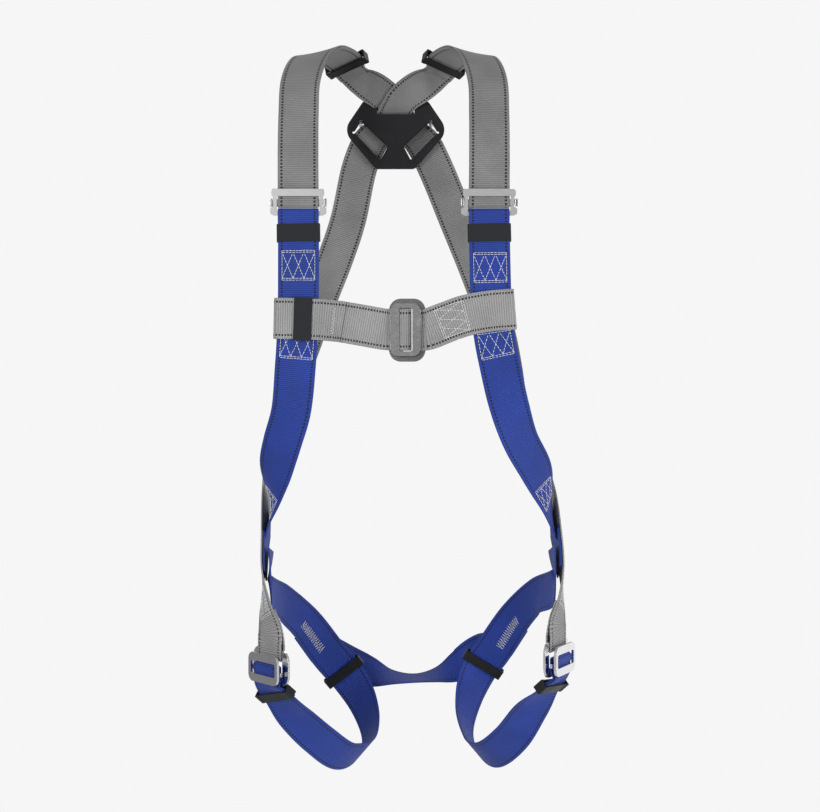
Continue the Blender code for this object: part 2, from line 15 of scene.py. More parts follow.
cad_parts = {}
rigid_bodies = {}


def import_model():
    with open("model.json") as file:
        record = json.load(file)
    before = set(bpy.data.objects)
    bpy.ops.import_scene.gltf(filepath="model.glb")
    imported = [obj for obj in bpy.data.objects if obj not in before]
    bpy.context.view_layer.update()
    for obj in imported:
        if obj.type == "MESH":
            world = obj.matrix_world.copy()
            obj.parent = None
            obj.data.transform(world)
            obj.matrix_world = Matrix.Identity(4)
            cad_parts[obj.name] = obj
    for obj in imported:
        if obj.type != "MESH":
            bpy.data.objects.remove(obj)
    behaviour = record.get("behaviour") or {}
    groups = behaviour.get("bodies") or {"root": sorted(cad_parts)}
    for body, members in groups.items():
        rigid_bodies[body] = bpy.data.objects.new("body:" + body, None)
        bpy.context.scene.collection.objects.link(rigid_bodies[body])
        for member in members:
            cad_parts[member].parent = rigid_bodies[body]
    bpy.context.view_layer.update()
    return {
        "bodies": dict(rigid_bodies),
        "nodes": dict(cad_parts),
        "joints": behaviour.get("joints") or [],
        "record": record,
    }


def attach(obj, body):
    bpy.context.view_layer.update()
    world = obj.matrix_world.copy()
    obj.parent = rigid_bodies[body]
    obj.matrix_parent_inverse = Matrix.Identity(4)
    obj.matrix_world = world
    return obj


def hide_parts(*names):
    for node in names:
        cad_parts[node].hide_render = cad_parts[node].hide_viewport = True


MM = 0.001
GAP = 0.3                 # between touching pieces
WEB_WIDTH = 45.0
WEB_THICK = 1.8
LAYER = WEB_THICK + GAP   # from one webbing layer's middle to the next one's
STEPS = 12                # rows of webbing between two stations
EDGE_LINE = 18.2          # from the middle of the webbing to the broken line near each edge
ELASTIC_WIDTH = 20.0
ELASTIC_THICK = 1.0

PLATE_THICK = 4.0
PLATE_SLOT = (47, 24, 8.6)
PINCH = 0.28              # the crossing straps are drawn together this much in the slot
REAR_STRAP = (3.0, 2.2)   # the crossing's rear strap lies this much behind and above its front one
D_BAR = (0.0, 6.8, 17.5)  # the D-ring's hinge line passes here, along X
D_WIRE = 5.0
D_HALF_WIDTH = 44.5
D_LENGTH = 54.0
D_HANGS = 8.0             # degrees below horizontal at rest
D_SIDES = 16              # round the wire
FLOOR_SIDES = 64

SHOULDER_BUCKLE_Z = -117.0
FRONT_Y = -222.0
BUCKLE_TILT = 20.0        # degrees that a shoulder buckle leans, its top bar forward
FRAME_THICK = 2.5
FRAME_NOTCH = (70, 8, 8.3)
SLIDE_BAR_THICK = 2.6
SLIDE_Z = -117.5
SLIDE_BAR_TALL = 4.0
SLIDE_WINGS = 8.0         # height of the slide bar's finger grips

CHEST_FRAME = (33.0, 57.0, 3.0)
CHEST_SLOT = (15.0, 47.6)
BACK_PLATE = (40.0, 69.0, 2.6)
BACK_SLOT = (20.0, 46.4)
PLATE_SHIFT = 5.0         # the back plate's middle, from the slide bar towards the sewn strap
CHEST_BUCKLE = (10.0, -241.3, -259.0)
FOLD_AT = 5.0             # where the adjusted strap folds, from the slide bar's line
SWELLS = 2.4              # the webbing in a leg buckle swells this far into the frame's slot
SEWN_FOLD = 15.5          # where the sewn strap folds
SEWN_DEEP = 5.0           # the sewn strap lies this much behind the adjusted one
SEWN = 2.8                # from layer to layer where straps are sewn together at the hip
KEEPER_WALL = 1.8
KEEPER_BLOCK = 5.0        # length of a keeper's thicker ends
UNDER = 8.4               # the thigh strap lies this far inside the hip strap where it is sewn on

# Stations: x, y, z in millimetres, then the way the outer side faces.
SHOULDER_RISE = [
    (105.5, -222, -119.7, 0, -1, 0),
    (105.5, -222, -98, 0, -1, 0),
    (106, -217, -60, 0, -1, 0.1),
    (106.5, -204, -17, 0.05, -1, 0.3),
    (106, -181, 27, 0.05, -1, 0.75),
    (98, -146, 61, 0.12, -0.6, 1),
    (84, -108, 77, 0.25, 0, 1),
    (68, -70, 80, 0.1, 0.55, 1),
    (50, -36, 71, -0.1, 1, 0.7),
    (26, -12, 55, 0, 1, 0.15),
    (10, -3, 41, 0, 1, 0),
    (0, 2, 27, 0, 1, 0),
]
BACK_TO_LEFT = [
    (-17, 10, 12, 0, 1, 0),
    (-33, 12, -7.5, 0, 1, 0),
    (-47, 10, -44, 0, 1, 0),
    (-60, 6, -106, -0.05, 1, 0),
    (-76, 0, -156, -0.15, 1, 0),
    (-95, -12, -208, -0.3, 1, 0),
    (-112, -32, -262, -0.5, 1, 0),
    (-126, -58, -312, -0.8, 1, 0),
    (-131, -86, -358, -1, 0.8, 0),
    (-141, -110, -402, -1, 0.6, 0),
    (-147, -135, -446, -1, 0.25, 0),
    (-150, -151, -492, -1, 0.05, 0),
    (-150, -167, -536, -1, -0.05, 0),
    (-146, -183, -570, -1, -0.4, 0),
]
BACK_TO_RIGHT = [
    (17, 10, 12, 0, 1, 0),
    (34, 12, -7.5, 0, 1, 0),
    (52, 10, -44, 0, 1, 0),
    (77, 6, -106, 0.05, 1, 0),
    (97, 0, -156, 0.15, 1, 0),
    (114, -12, -204, 0.3, 1, 0),
    (128, -32, -254, 0.5, 1, 0),
    (138, -58, -304, 0.8, 1, 0),
    (146, -88, -352, 1, 0.8, 0),
    (160, -111, -400, 1, 0.6, 0),
    (181, -132, -446, 1, 0.2, 0),
    (188, -152, -490, 1, 0.1, 0),
    (191, -171, -531, 1, 0, 0),
    (189, -185, -562, 1, -0.25, 0),
]
FRONT_LEFT = [
    (-105.5, -222, -128, 0, -1, 0),
    (-105.5, -222, -134, 0, -1, 0),
    (-105.3, -222.4, -142, 0, -1, 0),
    (-105, -223.3, -151, 0, -1, 0),
    (-104.8, -225.4, -166, 0, -1, 0),
    (-104.5, -229, -190, 0, -1, 0),
    (-104.5, -231, -226, 0, -1, 0),
    (-105.5, -231, -262, 0, -1, 0),
    (-108, -228, -298, 0, -1, 0),
    (-113, -222, -346, -0.15, -1, 0),
    (-124, -209, -382, -0.2, -1, 0),
    (-132, -195, -408, -0.4, -1, 0),
    (-138, -179, -438, -0.85, -0.6, 0),
    (-141, -163, -463, -1, 0, 0),
]
FRONT_RIGHT = [
    (105.5, -222, -128, 0, -1, 0),
    (105.5, -222, -134, 0, -1, 0),
    (105.3, -222.4, -142, 0, -1, 0),
    (105.5, -223.3, -151, 0, -1, 0),
    (105.7, -225.4, -166, 0, -1, 0),
    (106, -229, -190, 0, -1, 0),
    (107, -231, -226, 0, -1, 0),
    (110, -231, -262, 0, -1, 0),
    (117, -228, -298, 0, -1, 0),
    (127, -222, -340, 0.15, -1, 0),
    (141, -210, -380, 0.45, -1, 0),
    (161, -194, -416, 0.7, -1, 0),
    (175.5, -175, -453, 1, -0.3, 0),
]
CHEST_LEFT = [
    (-127.4, -228.4, -246, 0, -1, 0),
    (-105, -228.5, -246.5, 0, -1, 0),
    (-84, -228.5, -247.3, 0, -1, 0),
    (-76, -229.5, -247.8, 0, -1, 0),
    (-66, -232.5, -248.8, 0, -1, 0),
    (-56, -235, -250, 0, -1, 0),
    (-34, -239.2, -254, 0, -1, 0),
    (-12, -241.2, -258, 0, -1, 0),
    (0, -241.3, -259, 0, -1, 0),
    (16.2, -241.3, -259, 0, -1, 0),
]
CHEST_RIGHT = [
    (25.8, -236.5, -259, 0, -1, 0),
    (31, -236.5, -259, 0, -1, 0),
    (39, -236.6, -257.6, 0, -1, 0),
    (60, -236, -249.4, 0, -1, 0.12),
    (80, -234, -242.6, 0, -1, 0),
    (106, -233.4, -238, 0, -1, 0),
    (130, -233.4, -236, 0, -1, 0),
]
THIGH_LEFT = [
    (-131, -108, -575, -0.75, 0.9, -0.3),
    (-108, -64, -607, -0.4, 1, -0.3),
    (-83, -30, -649, -0.1, 1, -0.2),
    (-59, -16, -681, 0.2, 1, -0.1),
    (-40, -26, -710, 0.8, 1, -0.2),
    (-30, -54, -737, 1, 0.3, -0.45),
    (-37, -90, -754, 0.8, -0.5, -0.9),
    (-60, -122, -753, 0.3, -1, -0.6),
    (-87, -150, -727, 0, -1, -0.35),
    (-113, -170, -697, -0.35, -1, -0.15),
    (-129, -183, -674, -0.6, -0.8, 0),
]
THIGH_RIGHT = [
    (167, -108, -567, 0.75, 0.9, -0.3),
    (146, -64, -599, 0.4, 1, -0.3),
    (123, -30, -642, 0.1, 1, -0.2),
    (105, -16, -671, -0.2, 1, -0.1),
    (91, -26, -702, -0.8, 1, -0.2),
    (85, -54, -731, -1, 0.3, -0.45),
    (95, -90, -753, -0.8, -0.5, -0.9),
    (112, -122, -751, -0.3, -1, -0.6),
    (135, -150, -725, 0, -1, -0.35),
    (155, -170, -690, 0.4, -1, -0.15),
    (172, -184, -665, 0.75, -0.66, 0),
]
SEAT = [
    (-61, 5, -667, 0, 1, -0.3),
    (-34, 16, -679, -0.1, 0.8, -0.7),
    (-6, 20, -687, 0, 0.25, -1),
    (24, 21, -689, 0, 0.05, -1),
    (52, 20, -684, 0, 0.25, -1),
    (80, 16, -672, 0.1, 0.8, -0.7),
    (105, 10, -655, 0, 1, -0.3),
]
# Where each leg buckle's slide bar is, and how far the buckle faces outwards, in degrees.
LEG_BUCKLES = {"left": ((-144, -194, -639.5), -50), "right": ((189, -194, -629), 62)}
THIGH_KEEPERS = {"left": (-64, -18, -674), "right": (110, -18, -664)}
BUCKLE_KEEPERS = {"left": (-134, -187, -667), "right": (177, -188, -657)}
SHOULDER_KEEPERS = {"left": (-60, -53, 77), "right": (60, -53, 77)}
FRONT_ELASTIC = (-223, -151)  # Y and Z of the elastics on the front straps
CHEST_ELASTIC = (-100, -234.9, -246.7)
HIP_ROWS = 90             # rows of webbing from the joint at the hip to the leg buckle
FRONT_SEWN_ROWS = (63, 48)  # the front strap is sewn on between these rows from the leg buckle
THIGH_SEWN_ROWS = (57, 45)  # and the thigh strap between these
THIGH_ASIDE = {"left": 9, "right": -9}  # the thigh strap is sewn on slanting, by this much

# Where each front strap's sewn boxes are, with their width across and length along the strap.
FRONT_BOXES = {
    "left": [((-103, -229, -188), 36, 33), ((-106, -230.5, -274), 36, 33), ((-141, -170, -451), 33, 26)],
    "right": [((106, -229, -189), 36, 33), ((112, -230.5, -274), 36, 29), ((172, -181, -441), 33, 26)],
}
# Where each thigh strap's bar tack is, and how far it is from the middle of the webbing.
THIGH_TACKS = {"left": ((-100, -53, -621), -4), "right": ((137, -50, -616), 4)}


# ---- paths --------------------------------------------------------------------------------------

def unit(vectors):
    return vectors / np.linalg.norm(vectors, axis=-1, keepdims=True)


def lengths(points):
    """How far along a line of points each one is."""
    return np.concatenate([[0.0], np.cumsum(np.linalg.norm(np.diff(points, axis=0), axis=1))])


def frame_of(x, y, z, spot):
    """The matrix with these axes at a place."""
    return Matrix([[*row] for row in np.column_stack([x, y, z, spot])] + [[0, 0, 0, 1]])


class Path:
    """Points along a strap, with the way it runs, the way across it and its outer side at each."""

    def __init__(self, points, outer, along=None):
        self.points = np.asarray(points, float)
        if along is None:
            along = np.gradient(self.points, axis=0)
        self.along = unit(np.asarray(along, float))
        self.across = unit(np.cross(self.along, outer))
        self.outer = np.cross(self.across, self.along)

    def part(self, start, stop):
        keep = slice(start, stop)
        return Path(self.points[keep], self.outer[keep], self.along[keep])

    def raised(self, distance):
        """The same path, lifted to its outer side."""
        return Path(self.points + self.outer * np.reshape(distance, (-1, 1)), self.outer, self.along)

    def turned_round(self):
        return Path(self.points[::-1], self.outer[::-1], -self.along[::-1])

    def lengths(self):
        return lengths(self.points)

    def matrix(self, index):
        """A frame on the strap: X across it, Y to its inner side, Z the way it runs."""
        return frame_of(self.across[index], -self.outer[index], self.along[index], self.points[index])

    def near(self, spot):
        """The row closest to a place."""
        return int(np.argmin(np.linalg.norm(self.points - np.array(spot, float), axis=1)))

    def from_end(self, distance):
        """The row at this distance from the path's end."""
        run = self.lengths()
        return int(np.searchsorted(run, run[-1] - distance))


def curve_through(stations, steps=STEPS):
    """A smooth strap path through the stations."""
    known = np.asarray(stations, float)
    known[:, 3:] = unit(known[:, 3:])
    ends = [2 * known[0] - known[1], *known, 2 * known[-1] - known[-2]]
    rows = []
    for a, b, c, d in zip(ends, ends[1:], ends[2:], ends[3:]):
        for k in range(steps):
            u = k / steps
            rows.append(0.5 * (2 * b + (c - a) * u + (2 * a - 5 * b + 4 * c - d) * u ** 2
                               + (3 * b - a - 3 * c + d) * u ** 3))
    rows.append(known[-1])
    rows = np.array(rows)
    return Path(rows[:, :3], rows[:, 3:])


def joined(*paths):
    return Path(*(np.concatenate([getattr(p, part) for p in paths]) for part in ("points", "outer", "along")))


def folded_back(path, apart, hold, blend, length, sides=10):
    """The path, a turn round a bar and a second layer of the given length.  The second layer lies
    on the inner side, or on the outer side where apart is negative."""
    way_in = math.copysign(1.0, apart)
    apart = abs(apart)
    back = path.turned_round()
    run = back.lengths()
    back = back.part(0, int(np.searchsorted(run, length)) + 1)
    share = np.clip((back.lengths() - hold) / blend, 0, 1)
    share = share * share * (3 - 2 * share)
    second = back.raised(-way_in * (apart + (LAYER - apart) * share))
    second = Path(second.points, -second.outer, second.along)
    end, outer, along = path.points[-1], path.outer[-1] * way_in, path.along[-1]
    middle = end - outer * apart / 2
    points, facing, ways = [], [], []
    for k in range(1, sides):
        angle = math.pi * k / sides
        way = outer * math.cos(angle) + along * math.sin(angle)
        points.append(middle + way * apart / 2)
        facing.append(way * way_in)
        ways.append(along * math.cos(angle) - outer * math.sin(angle))
    return joined(path, Path(points, facing, ways), second)


def row_station(path, row, lift, aside=0.0):
    spot = path.points[row] + path.outer[row] * lift + path.across[row] * aside
    return (*spot, *path.outer[row])


def mirrored(stations):
    return [(-x, y, z, -ox, oy, oz) for x, y, z, ox, oy, oz in stations]


def leg_buckle_matrix(side):
    """The leg buckle's frame: X up, Y away from its viewer, Z along its bars."""
    spot, faces = LEG_BUCKLES[side]
    turn = math.radians(faces)
    away = Vector((-math.sin(turn), math.cos(turn), 0))
    up = Vector((0, 0, 1))
    return frame_of(up, away, up.cross(away), spot)


def from_buckle(matrix, along, deep=0.0):
    """A station beside a buckle: its outer side faces the viewer of the buckle."""
    spot = matrix @ Vector((along, deep, 0))
    outer = matrix.to_3x3() @ Vector((0, -1, 0))
    return (*spot, *outer)


def through_slot(grid, buckle):
    """Webbing round a slide bar swells out into the slot of the frame in front of it."""
    turn = np.array(buckle.to_3x3())
    local = (grid - np.array(buckle.translation)) @ turn
    swell = np.clip(1 - np.abs(local[..., 0] - 2.6) / 6.8, 0, 1)
    swell = swell * swell * (3 - 2 * swell) * np.clip((2.6 - local[..., 1]) / 2.6, 0, 1)
    near = np.linalg.norm(local, axis=-1) < 40
    return grid - turn[:, 1] * (swell * near * SWELLS)[..., None]


def rest_on_plate(grid, behind, above):
    """Webbing near the dorsal plate follows its slot and the D-ring's bar."""
    heights = [-75, -45, -10, 8, 16, 21, 23, 25, 28, 34, 41, 52, 75]
    depths = [9, 9, 11, 12.4, 12.4, 12, 11.6, 9.8, 2.8, -4.6, -6.4, -6.8, -7]
    for point in grid.reshape(-1, 3):
        x, y, z = point
        held = min(1, (z + 75) / 28, (56 - abs(x)) / 22 if z > 30 else 1)
        if y > -60 and held > 0:
            held = held * held * (3 - 2 * held)
            depth = float(np.interp(z - above, heights, depths)) + behind
            point[1] += (depth - y) * held
            point[0] *= 1 - PINCH * math.exp(-((z - 27) / 12) ** 2)
    return grid


# ---- materials ----------------------------------------------------------------------------------

class Graph:
    """The nodes of a material or a world, with short ways to add and join them."""

    def __init__(self, owner):
        owner.use_nodes = True
        self.material = owner
        self.tree = owner.node_tree
        self.shader = self.tree.nodes.get("Principled BSDF")

    def feed(self, socket, value):
        if isinstance(value, bpy.types.NodeSocket):
            self.tree.links.new(value, socket)
        else:
            socket.default_value = value

    def add(self, kind, output=0, sockets=None, **settings):
        node = self.tree.nodes.new(kind)
        for key, value in settings.items():
            setattr(node, key, value)
        for key, value in (sockets or {}).items():
            self.feed(node.inputs[key], value)
        return node.outputs[output]

    def split(self, vector):
        """The X, Y and Z of a vector."""
        axes = self.tree.nodes.new("ShaderNodeSeparateXYZ")
        self.feed(axes.inputs[0], vector)
        return axes.outputs[:]

    def grey(self, level):
        return self.add("ShaderNodeCombineColor", sockets={0: level, 1: level, 2: level})

    def math(self, operation, a, b=0.0, c=0.0):
        return self.add("ShaderNodeMath", sockets={0: a, 1: b, 2: c}, operation=operation)

    def waves(self, value, pitch):
        """Rounded ridges, one for each pitch."""
        return self.math("ABSOLUTE", self.math("SINE", self.math("MULTIPLY", value, math.pi / pitch)))

    def ramp(self, value, low, high, start=0.0, end=1.0):
        return self.add("ShaderNodeMapRange", sockets={0: value, 1: low, 2: high, 3: start, 4: end},
                        interpolation_type="SMOOTHSTEP")

    def mix(self, factor, a, b, blend="MIX"):
        node = self.tree.nodes.new("ShaderNodeMix")
        node.data_type = "RGBA"
        node.blend_type = blend
        self.feed(node.inputs[0], factor)
        self.feed(node.inputs[6], a)
        self.feed(node.inputs[7], b)
        return node.outputs[2]

    def noise(self, scale, detail=3.0, stretch=None):
        place = self.add("ShaderNodeTexCoord", output="Object")
        if stretch:
            place = self.add("ShaderNodeMapping", sockets={"Vector": place, "Scale": stretch})
        return self.add("ShaderNodeTexNoise", sockets={"Vector": place, "Scale": scale, "Detail": detail})

    def bump(self, height, distance, strength=1.0):
        normal = self.add("ShaderNodeBump", sockets={
            "Height": height, "Distance": distance, "Strength": strength})
        self.feed(self.shader.inputs["Normal"], normal)

    def set(self, **values):
        for key, value in values.items():
            self.feed(self.shader.inputs[key.replace("_", " ")], value)


def grey(value):
    return (value, value, value, 1.0)


def new_look(name):
    return Graph(bpy.data.materials.new(name))


def webbing_material(name, color, rib, dash_pitch, dash_wide, dash_color, relief, sheen):
    """Woven webbing: ribs across it, fine yarns, painted shade in the low places between them, and a broken
    line of thread near each edge.
    The mesh's UV map holds millimetres across and along the strap."""
    g = new_look(name)
    across, along, _ = g.split(g.add("ShaderNodeUVMap", uv_map="strap"))
    ribs = g.waves(along, rib)
    row = g.math("FLOOR", g.math("DIVIDE", along, rib))
    yarn_at = g.math("ADD", g.math("DIVIDE", across, 0.9), g.math("MULTIPLY", row, 0.5))
    yarns = g.waves(yarn_at, 1.0)
    height = g.math("MULTIPLY", g.math("POWER", ribs, 0.6), g.math("MULTIPLY_ADD", yarns, 0.35, 0.65))
    from_line = g.math("ABSOLUTE", g.math("SUBTRACT", g.math("ABSOLUTE", across), EDGE_LINE))
    beat = g.math("FRACT", g.math("DIVIDE", along, dash_pitch))
    off_beat = g.ramp(g.math("ABSOLUTE", g.math("SUBTRACT", beat, 0.5)), 0.24, 0.34)
    in_beat = g.math("SUBTRACT", 1.0, off_beat)
    dash = g.math("MULTIPLY", g.ramp(from_line, dash_wide / 2 + 0.15, dash_wide / 2 - 0.15), in_beat)
    patches = g.ramp(g.noise(22.0, 4.0), 0.3, 0.75, 0.88, 1.1)
    fibres = g.ramp(g.noise(900.0, 2.0), 0.2, 0.8, 0.9, 1.08)
    # Painted shade: the colour darkens in the low places between ribs and yarns; the patches and fibres are
    # random tone.
    depth = g.math("MULTIPLY_ADD", height, 0.62, 0.5)
    shade = g.math("MULTIPLY", depth, g.math("MULTIPLY", patches, fibres))
    body = g.mix(1.0, color, g.grey(shade), "MULTIPLY")
    g.set(Base_Color=g.mix(dash, body, dash_color), Roughness=g.ramp(height, 0.0, 1.0, 0.85, 0.62))
    g.bump(g.math("SUBTRACT", height, g.math("MULTIPLY", dash, 0.5)), relief * MM, 0.7)
    g.set(Specular_IOR_Level=0.35, Sheen_Weight=sheen, Sheen_Roughness=0.5)
    return g.material


def elastic_material():
    """Woven elastic: fine cords along the band, crossed by finer picks, with painted shade in the low places
    between them.
    """
    g = new_look("elastic")
    across, along, _ = g.split(g.add("ShaderNodeUVMap", uv_map="strap"))
    picks = g.math("MULTIPLY_ADD", g.waves(along, 0.8), 0.4, 0.6)
    height = g.math("MULTIPLY", g.waves(across, 1.1), picks)
    g.bump(height, 0.25 * MM, 0.5)
    # Painted shade: the colour is darker where the weave is low, between the cords and picks.
    g.set(Base_Color=g.mix(height, (0.007, 0.008, 0.011, 1), (0.016, 0.018, 0.024, 1)))
    g.set(Roughness=0.78, Specular_IOR_Level=0.35, Sheen_Weight=0.15, Sheen_Roughness=0.5)
    return g.material


def thread_material():
    """Pale sewing thread with a fine twist."""
    g = new_look("thread")
    g.set(Base_Color=g.mix(g.noise(700.0, 2.0), (0.75, 0.76, 0.8, 1), (0.95, 0.95, 0.96, 1)))
    g.bump(g.noise(2500.0, 1.0), 0.08 * MM, 0.4)
    g.set(Roughness=0.6, Sheen_Weight=0.2)
    return g.material


def steel_material(name, color, rough, grain):
    """Metal with faint drawn lines and small scuffs."""
    g = new_look(name)
    drawn = g.noise(160.0, 2.0, (1.0, 1.0, 6.0))
    scuffs = g.ramp(g.noise(60.0, 3.0), 0.55, 0.75)
    evenness = g.ramp(drawn, 0.3, 0.7, rough - 0.02, rough + 0.03)
    g.bump(drawn, grain * MM, 0.25)
    g.set(Base_Color=g.mix(scuffs, color, [c * 0.93 for c in color[:3]] + [1.0]), Metallic=1.0,
          Roughness=g.math("ADD", evenness, g.math("MULTIPLY", scuffs, 0.06)))
    return g.material


def plastic_material(name, color, rough):
    """Moulded plastic with a fine grain."""
    g = new_look(name)
    cloud = g.noise(40.0, 3.0)
    g.bump(g.noise(1300.0, 2.0), 0.05 * MM, 0.35)
    g.set(Base_Color=g.mix(cloud, color, [c * 1.5 for c in color[:3]] + [1.0]),
          Roughness=g.ramp(cloud, 0.3, 0.7, rough, rough + 0.12), Specular_IOR_Level=0.3)
    return g.material


# ---- meshes -------------------------------------------------------------------------------------

def in_scene(name, data):
    """A new object in the scene."""
    made = bpy.data.objects.new(name, data)
    bpy.context.scene.collection.objects.link(made)
    return made


def as_mesh(piece):
    """A new mesh of an object with its modifiers in it."""
    bpy.context.view_layer.update()
    return bpy.data.meshes.new_from_object(piece.evaluated_get(bpy.context.evaluated_depsgraph_get()))


def add_piece(name, mesh, material, body, node):
    """Puts a mesh in the scene, riding on its CAD body and standing for its CAD node."""
    mesh.materials.clear()
    mesh.materials.append(material)
    piece = in_scene(name, mesh)
    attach(piece, body)
    if node:
        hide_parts(node)
    return piece


# Half of the webbing's section: distance from its middle, and how full the thickness is there.
EDGE = np.array([22.5, 22.42, 22.15, 21.6, 20.2, 16.0, 10.7, 5.3])
SWELL = np.array([0.0, 0.42, 0.76, 0.97, 1.0, 1.0, 1.0, 1.0])


class Webbing:
    """The surface of a strap: a grid across and along it, and the side it shows."""

    def __init__(self, path, wide=WEB_WIDTH, thick=WEB_THICK, shape=None):
        scale = wide / WEB_WIDTH
        self.u = np.concatenate([-EDGE, [0.0], EDGE[::-1]]) * scale
        self.swell = np.concatenate([SWELL, [1.0], SWELL[::-1]]) * thick / 2
        grid = path.points[:, None] + path.across[:, None] * self.u[None, :, None]
        self.v = path.lengths()
        if shape:
            grid = shape(grid)
        self.grid = grid
        facing = np.cross(np.gradient(grid, axis=1), np.gradient(grid, axis=0))
        self.facing = unit(facing)
        self.path = path

    def mesh(self, name):
        """A closed mesh with rounded edges and a UV map in millimetres."""
        lift = self.facing * self.swell[None, :, None]
        front, back = self.grid + lift, self.grid - lift
        ring = np.concatenate([front, back[:, -2:0:-1]], axis=1)
        u_ring = np.concatenate([self.u, self.u[-2:0:-1]])
        rows, cols = ring.shape[:2]
        numbers = np.arange(rows * cols).reshape(rows, cols)
        after = np.roll(numbers, -1, axis=1)
        quads = np.stack([numbers[:-1], after[:-1], after[1:], numbers[1:]], axis=-1).reshape(-1, 4)
        faces = [*quads.tolist(), numbers[0][::-1].tolist(), numbers[-1].tolist()]
        mesh = bpy.data.meshes.new(name)
        mesh.from_pydata((ring.reshape(-1, 3) * MM).tolist(), [], faces)
        spots = np.stack([np.tile(u_ring, rows), np.repeat(self.v, cols)], axis=-1)
        loops = np.zeros(len(mesh.loops), int)
        mesh.loops.foreach_get("vertex_index", loops)
        layer = mesh.uv_layers.new(name="strap")
        layer.data.foreach_set("uv", spots[loops].reshape(-1))
        mesh.shade_smooth()
        return mesh

    def spot(self, u, v, lift):
        """A point over the outer side, lift millimetres above it, and which way that side faces."""
        row = int(np.clip(np.searchsorted(self.v, v) - 1, 0, len(self.v) - 2))
        along = (v - self.v[row]) / max(self.v[row + 1] - self.v[row], 1e-6)
        col = int(np.clip(np.searchsorted(self.u, u) - 1, 0, len(self.u) - 2))
        side = (u - self.u[col]) / (self.u[col + 1] - self.u[col])

        def blend(values):
            low = values[row, col] * (1 - side) + values[row, col + 1] * side
            high = values[row + 1, col] * (1 - side) + values[row + 1, col + 1] * side
            return low * (1 - along) + high * along

        facing = blend(self.facing)
        facing /= np.linalg.norm(facing)
        thick = np.interp(u, self.u, self.swell)
        return blend(self.grid) + facing * (math.copysign(thick, lift) + lift), facing

    def at(self, spot):
        """How far along the strap it passes nearest to a place."""
        return self.v[self.path.near(spot)]


def strap(name, surface, material, body="webbing"):
    """A strap's cloth, standing for its node."""
    piece = add_piece(name + "_cloth", surface.mesh(name), material, body, name)
    return piece


def ring_faces(rings, sides, base=0, closed=False):
    """Faces between rings of vertices; closed joins the last ring to the first."""
    faces = []
    for k in range(rings if closed else rings - 1):
        here, after = base + k * sides, base + (k + 1) % rings * sides
        for turn in range(sides):
            beside = (turn + 1) % sides
            faces.append((here + turn, here + beside, after + beside, after + turn))
    return faces


def stitches(name, surface, lines, radius=0.3, long=3.3, pitch=3.7, side=1):
    """Threads lying on a strap along lines of (across, along) points; long = 0 joins them up."""
    verts, faces = [], []

    def thread(spots):
        base = len(verts)
        points = np.array([p for p, _ in spots])
        for k, (point, facing) in enumerate(spots):
            ahead = points[min(k + 1, len(points) - 1)] - points[max(k - 1, 0)]
            ahead = ahead / max(np.linalg.norm(ahead), 1e-9)
            sideways = np.cross(facing, ahead)
            thick = radius * (0.45 if k in (0, len(spots) - 1) else 1.0)
            for turn in range(6):
                angle = math.pi * turn / 3
                verts.append(point + sideways * math.cos(angle) * thick + facing * math.sin(angle) * thick)
        faces.extend(ring_faces(len(spots), 6, base))
        faces.append(tuple(range(base + 5, base - 1, -1)))
        faces.append(tuple(range(base + (len(spots) - 1) * 6, base + len(spots) * 6)))

    for line in lines:
        line = np.asarray(line, float)
        runs = lengths(line)
        if long:
            starts = np.arange(0.2, runs[-1] - long * 0.6, pitch)
            for start in starts:
                at = np.linspace(start, min(start + long, runs[-1]), 4)
                rise = (0.0, 0.3, 0.3, 0.0)
                thread([surface.spot(np.interp(s, runs, line[:, 0]), np.interp(s, runs, line[:, 1]),
                                     side * (0.05 + r)) for s, r in zip(at, rise)])
        else:
            thread([surface.spot(u, v, side * 0.3) for u, v in line])
    mesh = bpy.data.meshes.new(name)
    mesh.from_pydata((np.array(verts) * MM).tolist(), [], faces)
    mesh.shade_smooth()
    return add_piece(name, mesh, LOOKS["thread"], "webbing", None)


def box_and_crosses(u, v, wide, long, crosses=3):
    """Sewing lines: a box with doubled ends and a row of crosses in it."""
    a, b, low, high = u - wide / 2, u + wide / 2, v - long / 2, v + long / 2
    lines = [[(a, low), (b, low)], [(a, low + 2), (b, low + 2)], [(a, high), (b, high)],
             [(a, high - 2), (b, high - 2)], [(a, low), (a, high)], [(b, low), (b, high)]]
    for k in range(crosses):
        left, right = a + wide * k / crosses, a + wide * (k + 1) / crosses
        lines += [[(left, low + 2), (right, high - 2)], [(right, low + 2), (left, high - 2)]]
    return lines


def zigzag(u, v, wide, long, step, lengthwise):
    """A bar tack: one close zigzag line."""
    count = int(long / step)
    line = []
    for k in range(count):
        shift, swing = (k / (count - 1) - 0.5) * long, (wide / 2) * (1 if k % 2 else -1)
        line.append((u + swing, v + shift) if lengthwise else (u + shift, v + swing))
    return [line]


def corners_of(points):
    """Each corner, the ways to the ones before and after it, and half the angle between them."""
    corners = [Vector(p) for p in points]
    for k, corner in enumerate(corners):
        before = (corners[k - 1] - corner).normalized()
        after = (corners[(k + 1) % len(corners)] - corner).normalized()
        yield corner, before, after, before.angle(after) / 2


def rounded(points, radius, sides=8):
    """A closed outline whose corners are arcs of the given radius, or one radius for each."""
    radii = radius if isinstance(radius, (list, tuple)) else [radius] * len(points)
    outline = []
    for (corner, before, after, half), arc in zip(corners_of(points), radii):
        if arc <= 0:
            outline.append(corner)
            continue
        centre = corner + (before + after).normalized() * (arc / math.sin(half))
        start = (corner + before * (arc / math.tan(half)) - centre).normalized()
        end = (corner + after * (arc / math.tan(half)) - centre).normalized()
        outline += [centre + start.slerp(end, step / sides) * arc for step in range(sides + 1)]
    return outline


